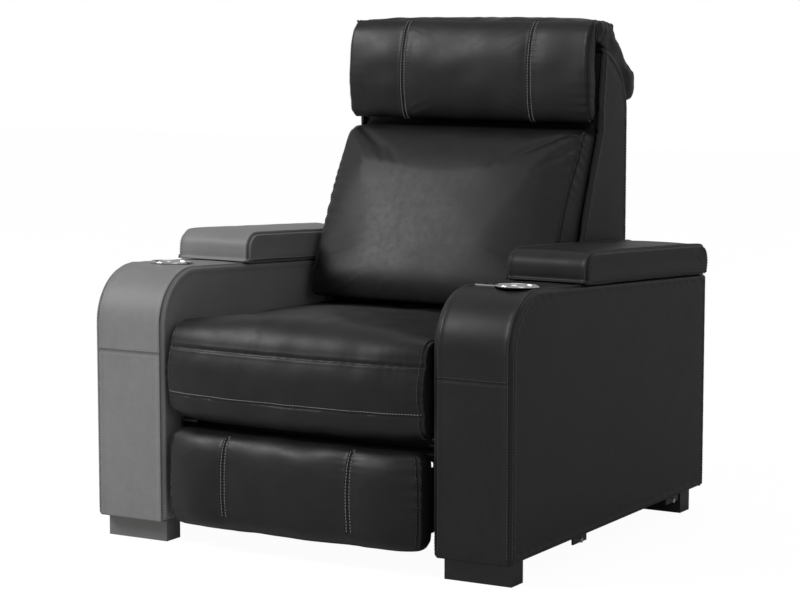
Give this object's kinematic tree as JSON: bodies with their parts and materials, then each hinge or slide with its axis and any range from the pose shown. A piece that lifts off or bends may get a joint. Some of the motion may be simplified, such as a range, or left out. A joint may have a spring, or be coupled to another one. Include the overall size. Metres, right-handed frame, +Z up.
{
  "type": "cinema recliner seat",
  "caption": "Upholstered cinema recliner with powered footrest and back, tilting headrest, and wide arms with padded storage lids and cup holders.",
  "frame": {"origin": "on the floor under the middle of the seat's bounding box", "axes": "+Z up, -Y is the way the sitter faces, +X is the arm with the control buttons"},
  "size_m": [0.968, 0.985, 1.053],
  "materials": {
    "black_leather": "satin",
    "grey_leather": "satin",
    "plywood": "matte",
    "chrome_steel": "polished",
    "chrome_plate": "polished",
    "black_foot": "satin",
    "grey_foot": "satin",
    "black_plastic": "matte",
    "zinc_steel": "satin",
    "spring_steel": "satin",
    "black_steel": "satin"
  },
  "bodies": {
    "base": {"arm_inner_panel_left": "grey_leather", "arm_outer_panel_left": "grey_leather", "arm_band_left": "grey_leather", "arm_frame_left": "plywood", "storage_bin_left": "black_plastic", "cup_holder_left": "chrome_steel", "feet_left": "grey_foot", "side_rail_left": "black_steel", "arm_inner_panel_right": "black_leather", "arm_outer_panel_right": "black_leather", "arm_band_right": "black_leather", "arm_frame_right": "plywood", "storage_bin_right": "black_plastic", "cup_holder_right": "chrome_steel", "feet_right": "black_foot", "side_rail_right": "black_steel", "control_plate": "chrome_plate", "row_link_brackets": "black_steel", "row_link_bolts": "zinc_steel", "lid_hinge_bases": "black_steel", "front_cross_tube": "black_steel", "rear_cross_tube": "black_steel", "power_inlet": "black_plastic", "seat_springs": "spring_steel", "seat_cushion": "black_leather", "actuator_housing": "black_steel", "back_pivot_brackets": "black_steel", "pivot_bolts": "zinc_steel"},
    "lid_left": {"lid_board_left": "plywood", "lid_pad_left": "grey_leather", "lid_hinge_leaf_left": "black_steel"},
    "lid_right": {"lid_board_right": "plywood", "lid_pad_right": "black_leather", "lid_hinge_leaf_right": "black_steel"},
    "recline_key": {"recline_button": "black_plastic"},
    "return_key": {"return_button": "black_plastic"},
    "drive": {"drive_link_left": "black_steel", "drive_link_right": "black_steel", "torque_tube": "black_steel"},
    "lift": {"lift_link_left": "black_steel", "lift_link_right": "black_steel"},
    "footrest": {"footrest_bracket_left": "black_steel", "footrest_bracket_right": "black_steel", "footrest_board": "plywood", "footrest_cushion": "black_leather"},
    "thrust": {"thrust_bar_left": "black_steel", "thrust_bar_right": "black_steel"},
    "rod": {"actuator_rod": "zinc_steel"},
    "back": {"back_post_left": "plywood", "back_post_right": "plywood", "back_board": "plywood", "back_pivot_plates": "black_steel", "back_side_panel_left": "black_leather", "back_side_panel_right": "black_leather", "back_rear_panel": "black_leather", "back_cushion": "black_leather", "headrest_brackets": "black_steel"},
    "headrest": {"headrest_frame": "black_steel", "headrest_pillow": "black_leather", "headrest_flap": "black_leather"}
  },
  "joints": [
    {"name": "footrest_drive", "type": "hinge", "parent": "base", "child": "drive", "pos_m": [0, -0.37, 0.225], "axis": [-1, 0, 0], "range_deg": [0, 90]},
    {"name": "lift_fold", "type": "hinge", "parent": "drive", "child": "lift", "pos_m": [0, -0.37, 0.06], "axis": [-1, 0, 0], "range_deg": [-150.5, 0]},
    {"name": "footrest_turn", "type": "hinge", "parent": "lift", "child": "footrest", "pos_m": [0, -0.37, 0.195], "axis": [-1, 0, 0], "range_deg": [0, 150.5]},
    {"name": "thrust_slide", "type": "slide", "parent": "base", "child": "thrust", "axis": [0, -1, 0], "range_m": [0, 0.0454]},
    {"name": "rod_slide", "type": "slide", "parent": "base", "child": "rod", "axis": [0, -1, 0], "range_m": [0, 0.0708]},
    {"name": "back_recline", "type": "hinge", "parent": "base", "child": "back", "pos_m": [0, 0.195, 0.28], "axis": [-1, 0, 0], "range_deg": [0, 40.2]},
    {"name": "headrest_tilt", "type": "hinge", "parent": "back", "child": "headrest", "pos_m": [0, 0.288, 0.85], "axis": [1, 0, 0], "range_deg": [0, 25]},
    {"name": "lid_left_hinge", "type": "hinge", "parent": "base", "child": "lid_left", "pos_m": [-0.395, 0.46, 0.511], "axis": [-1, 0, 0], "range_deg": [0, 95]},
    {"name": "lid_right_hinge", "type": "hinge", "parent": "base", "child": "lid_right", "pos_m": [0.395, 0.46, 0.511], "axis": [-1, 0, 0], "range_deg": [0, 95]},
    {"name": "recline_press", "type": "slide", "parent": "base", "child": "recline_key", "axis": [0, -0.0577, -0.9983], "range_m": [0, 0.0015], "stiffness_N_per_m": 600, "springref_m": -0.001},
    {"name": "return_press", "type": "slide", "parent": "base", "child": "return_key", "axis": [0, -0.0577, -0.9983], "range_m": [0, 0.0015], "stiffness_N_per_m": 600, "springref_m": -0.001}
  ],
  "couplings": [
    {"joint": "lift_fold", "follows": "footrest_drive", "ratio": -1.6667},
    {"joint": "footrest_turn", "follows": "footrest_drive", "ratio": 1.6667},
    {"joint": "thrust_slide", "follows": "footrest_drive", "m_per_rad": 0.02881},
    {"joint": "rod_slide", "follows": "footrest_drive", "m_per_rad": 0.045016},
    {"joint": "back_recline", "follows": "footrest_drive", "ratio": 0.44444}
  ]
}
